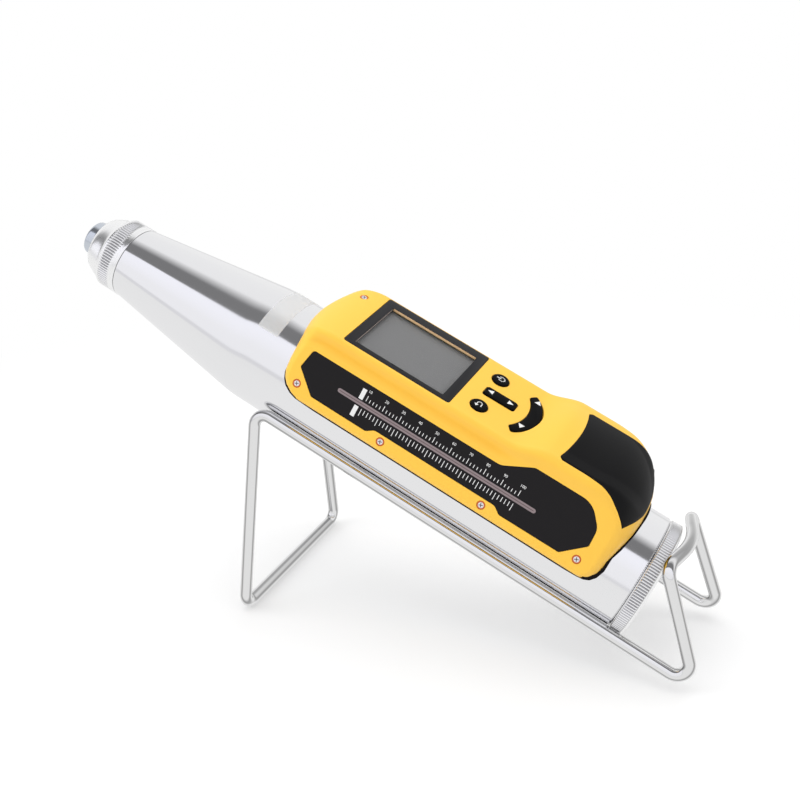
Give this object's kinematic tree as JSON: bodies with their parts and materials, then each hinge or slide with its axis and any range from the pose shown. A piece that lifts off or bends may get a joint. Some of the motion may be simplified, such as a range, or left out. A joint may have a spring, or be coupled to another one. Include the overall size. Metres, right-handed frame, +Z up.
{
  "type": "digital rebound test hammer on a wire rest",
  "caption": "Spring-driven rebound hammer for testing concrete: tapered metal barrel, knurled caps, moulded housing with a scale, display and keys, lying on a bent wire rest.",
  "frame": {"origin": "middle of the footprint on the floor the wire rest stands on", "axes": "+Z up; the hammer's nose points towards -X and up; the scale faces -Y"},
  "size_m": [0.2751, 0.0832, 0.1574],
  "materials": {
    "rest_wire": "bright plated wire",
    "barrel_metal": "polished and clear anodised",
    "cap_metal": "turned, straight knurl",
    "felt": "grey felt",
    "ring_steel": "turned",
    "sleeve_bronze": "turned bronze",
    "rear_cover_metal": "turned, straight knurl",
    "screw_steel": "blued",
    "spring_steel": "drawn wire",
    "plunger_steel": "hardened and polished",
    "bar_steel": "ground",
    "disk_brass": "turned",
    "pawl_steel": "hardened",
    "mass_steel": "turned",
    "pointer_rod_copper": "drawn, dulled",
    "rider_plastic": "white",
    "sensor_board": "green board",
    "base_black": "moulded",
    "cover_yellow": "moulded, satin",
    "cover_screw_brass": "plated",
    "pad_rubber": "fine matt texture",
    "scale_black": "printed film",
    "slot_film": "gloss",
    "bezel_black": "smooth",
    "display_glass": "clear",
    "lcd_grey": "liquid crystal panel, off",
    "board_green": "green board",
    "battery_blue": "wrapped cell",
    "mat_silicone": "translucent silicone",
    "key_black": "soft matt",
    "lock_steel": "turned"
  },
  "bodies": {
    "wire_rest": {"wire_rest": "rest_wire"},
    "hammer": {"barrel": "barrel_metal", "front_cap": "cap_metal", "felt_seal": "felt", "two_part_ring": "ring_steel", "guide_sleeve": "sleeve_bronze", "rear_cover": "rear_cover_metal", "trip_screw": "screw_steel", "lock_nut": "screw_steel", "impact_spring": "spring_steel", "compression_spring": "spring_steel", "pointer_rod": "pointer_rod_copper", "sensor_strip": "sensor_board", "base_frame": "base_black", "cover": "cover_yellow", "cover_screws": "cover_screw_brass", "grip_pad": "pad_rubber", "scale_panel": "scale_black", "slot_window": "slot_film", "display_bezel": "bezel_black", "display_glass": "display_glass", "lcd_module": "lcd_grey", "main_board": "board_green", "battery": "battery_blue", "key_mat": "mat_silicone", "lock_collar": "lock_steel", "lock_spring": "spring_steel"},
    "plunger_train": {"impact_plunger": "plunger_steel", "buffer_spring": "spring_steel", "guide_bar": "bar_steel", "guide_disk": "disk_brass", "pawl_pin": "bar_steel", "pawl_spring": "spring_steel"},
    "pawl": {"pawl": "pawl_steel"},
    "hammer_mass": {"hammer_mass": "mass_steel"},
    "rider": {"rider": "rider_plastic"},
    "power_key": {"power_key": "key_black"},
    "back_key": {"back_key": "key_black"},
    "arrow_rocker": {"arrow_rocker": "key_black"},
    "crescent_rocker": {"crescent_rocker": "key_black"},
    "lock_button": {"lock_button": "lock_steel"}
  },
  "joints": [
    {"name": "lift_off_rest", "type": "slide", "parent": "wire_rest", "child": "hammer", "axis": [0, 0, 1], "range_m": [0, 0.12]},
    {"name": "plunger_slide", "type": "slide", "parent": "hammer", "child": "plunger_train", "axis": [-0.8984, 0, 0.4393], "range_m": [0, 0.075], "deforming": ["compression_spring"]},
    {"name": "mass_slide", "type": "slide", "parent": "hammer", "child": "hammer_mass", "axis": [-0.8984, 0, 0.4393], "range_m": [-0.075, 0], "stiffness_N_per_m": 785, "springref_m": 0.0035, "deforming": ["impact_spring"]},
    {"name": "pawl_turn", "type": "hinge", "parent": "plunger_train", "child": "pawl", "pos_m": [0.09842, -0.00139, 0.05149], "axis": [-0.0421, -0.9954, -0.0861], "range_deg": [0, 18], "stiffness_Nm_per_rad": 0.02},
    {"name": "rider_slide", "type": "slide", "parent": "hammer", "child": "rider", "axis": [0.8984, 0, -0.4393], "range_m": [0, 0.075]},
    {"name": "power_key_press", "type": "slide", "parent": "hammer", "child": "power_key", "axis": [-0.4372, 0.0958, -0.8942], "range_m": [0, 0.0007], "stiffness_N_per_m": 800},
    {"name": "back_key_press", "type": "slide", "parent": "hammer", "child": "back_key", "axis": [-0.4372, 0.0958, -0.8942], "range_m": [0, 0.0007], "stiffness_N_per_m": 800},
    {"name": "arrow_rocker_tilt", "type": "hinge", "parent": "hammer", "child": "arrow_rocker", "pos_m": [0.05356, -0.00345, 0.09724], "axis": [0.0421, 0.9954, 0.0861], "range_deg": [-3, 3], "stiffness_Nm_per_rad": 0.05},
    {"name": "crescent_rocker_tilt", "type": "hinge", "parent": "hammer", "child": "crescent_rocker", "pos_m": [0.06658, -0.00345, 0.09087], "axis": [0.8984, 0, -0.4393], "range_deg": [-2, 2], "stiffness_Nm_per_rad": 0.05},
    {"name": "lock_button_press", "type": "slide", "parent": "hammer", "child": "lock_button", "axis": [0.3785, -0.5075, 0.7741], "range_m": [0, 0.001], "stiffness_N_per_m": 600, "deforming": ["lock_spring"]}
  ]
}
